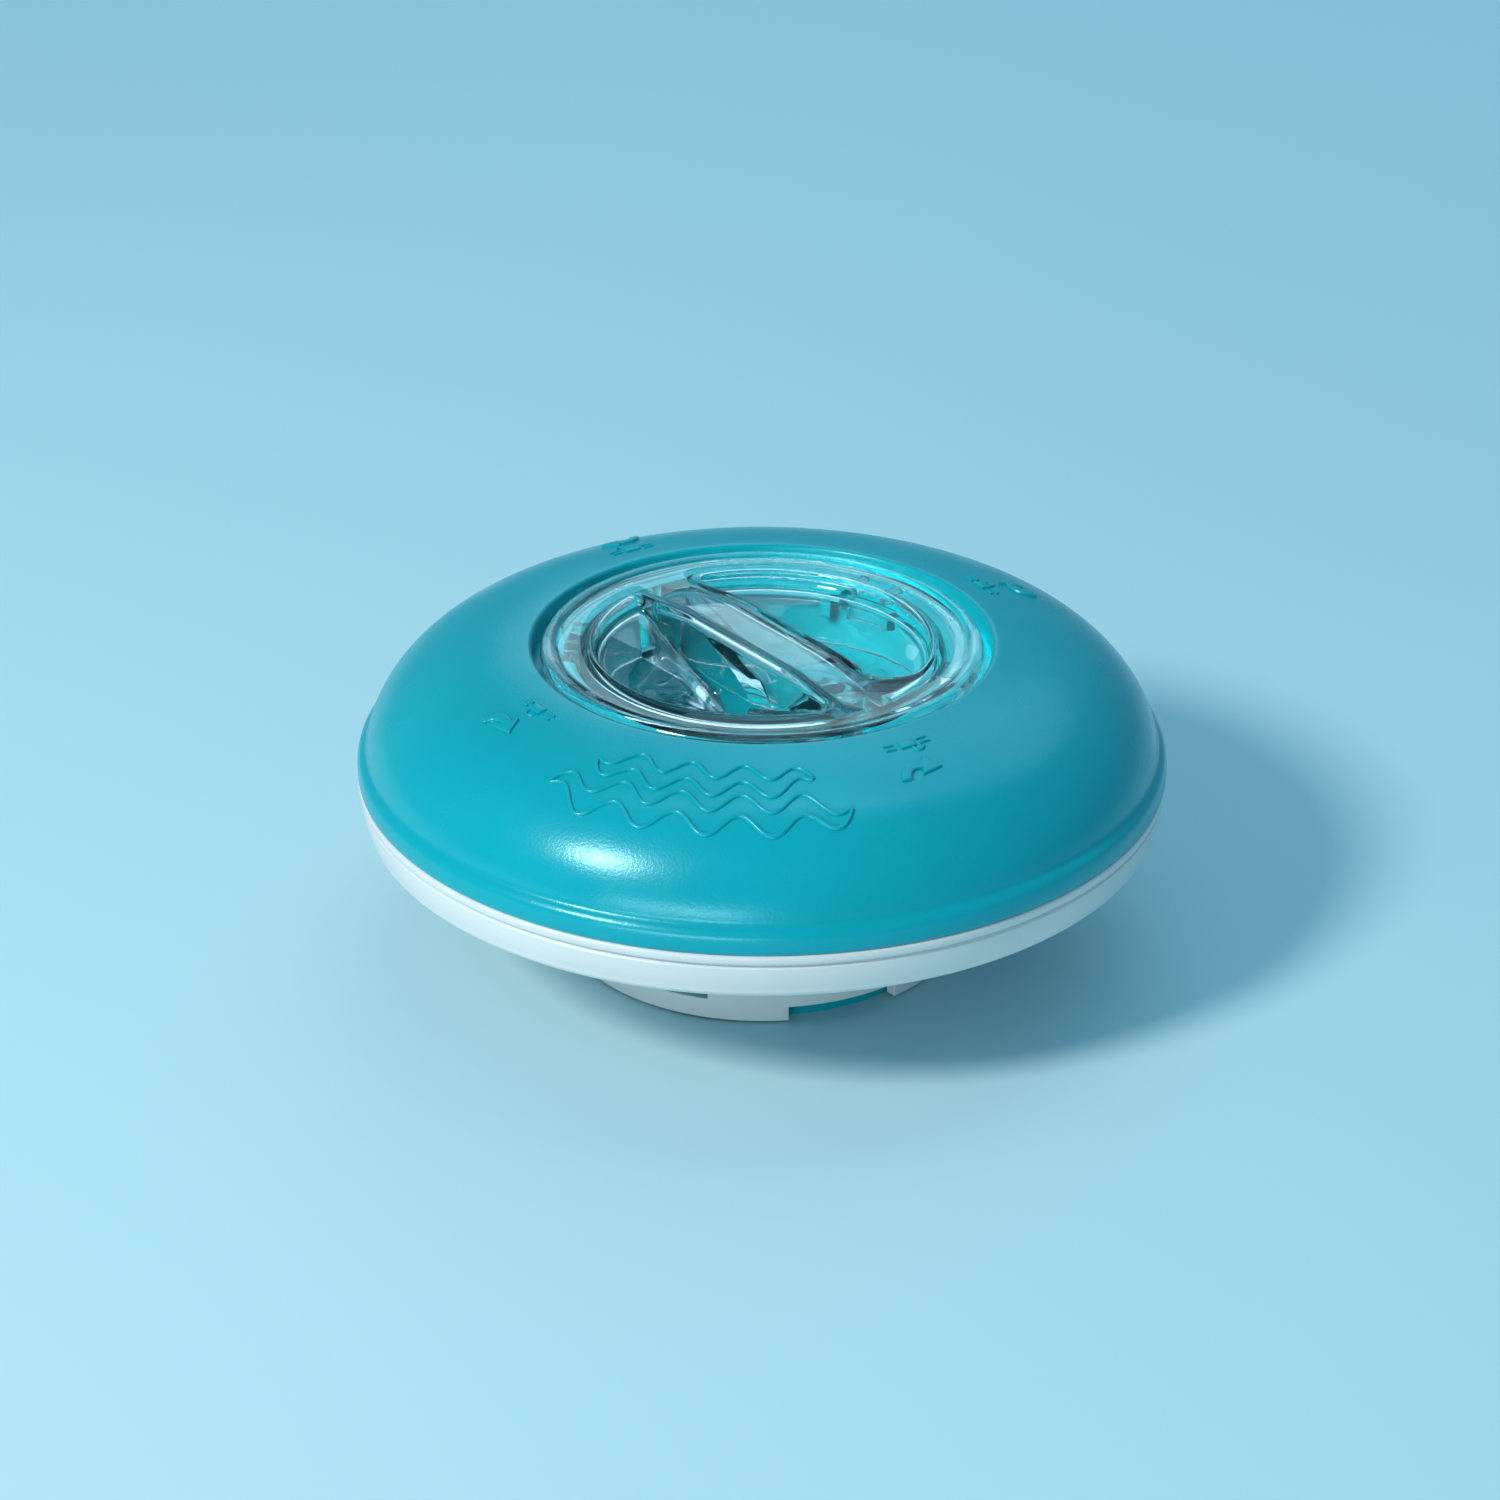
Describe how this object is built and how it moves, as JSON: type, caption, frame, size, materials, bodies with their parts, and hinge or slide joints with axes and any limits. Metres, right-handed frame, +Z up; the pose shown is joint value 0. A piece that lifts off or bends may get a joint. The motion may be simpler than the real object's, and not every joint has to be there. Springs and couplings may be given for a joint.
{
  "type": "floating chlorine dispenser",
  "caption": "Round pool float with a domed top, an open tablet well under a clear bayonet lid, and a vented ring that turns to set how much chlorine dissolves.",
  "frame": {"origin": "centre of the basket's foot, on the surface it stands on", "axes": "+Z up along the axis of the float and well, -Y towards the front, where the raised wave emblem is"},
  "size_m": [0.18, 0.18, 0.0733],
  "materials": {
    "teal_plastic": "satin",
    "white_plastic": "satin",
    "clear_plastic": "gloss",
    "rubber": "matte",
    "screw_steel": "satin",
    "silicone": "matte"
  },
  "bodies": {
    "float": {"top_shell": "teal_plastic", "bottom_shell": "white_plastic", "rim_seal": "rubber", "neck_seal": "rubber", "tablet_basket": "teal_plastic", "basket_screws": "screw_steel"},
    "ring": {"flow_ring": "white_plastic"},
    "seal": {"lid_seal": "silicone"},
    "lid": {"lid": "clear_plastic"}
  },
  "joints": [
    {"name": "ring_turn", "type": "hinge", "parent": "float", "child": "ring", "pos_m": [0, 0, 0.01], "axis": [0, 0, 1], "range_deg": [0, 40]},
    {"name": "lid_lift", "type": "slide", "parent": "float", "child": "seal", "axis": [0, 0, 1], "range_m": [0, 0.06]},
    {"name": "lid_turn", "type": "hinge", "parent": "seal", "child": "lid", "pos_m": [0, 0, 0.07], "axis": [0, 0, 1], "range_deg": [-90, 0]}
  ]
}
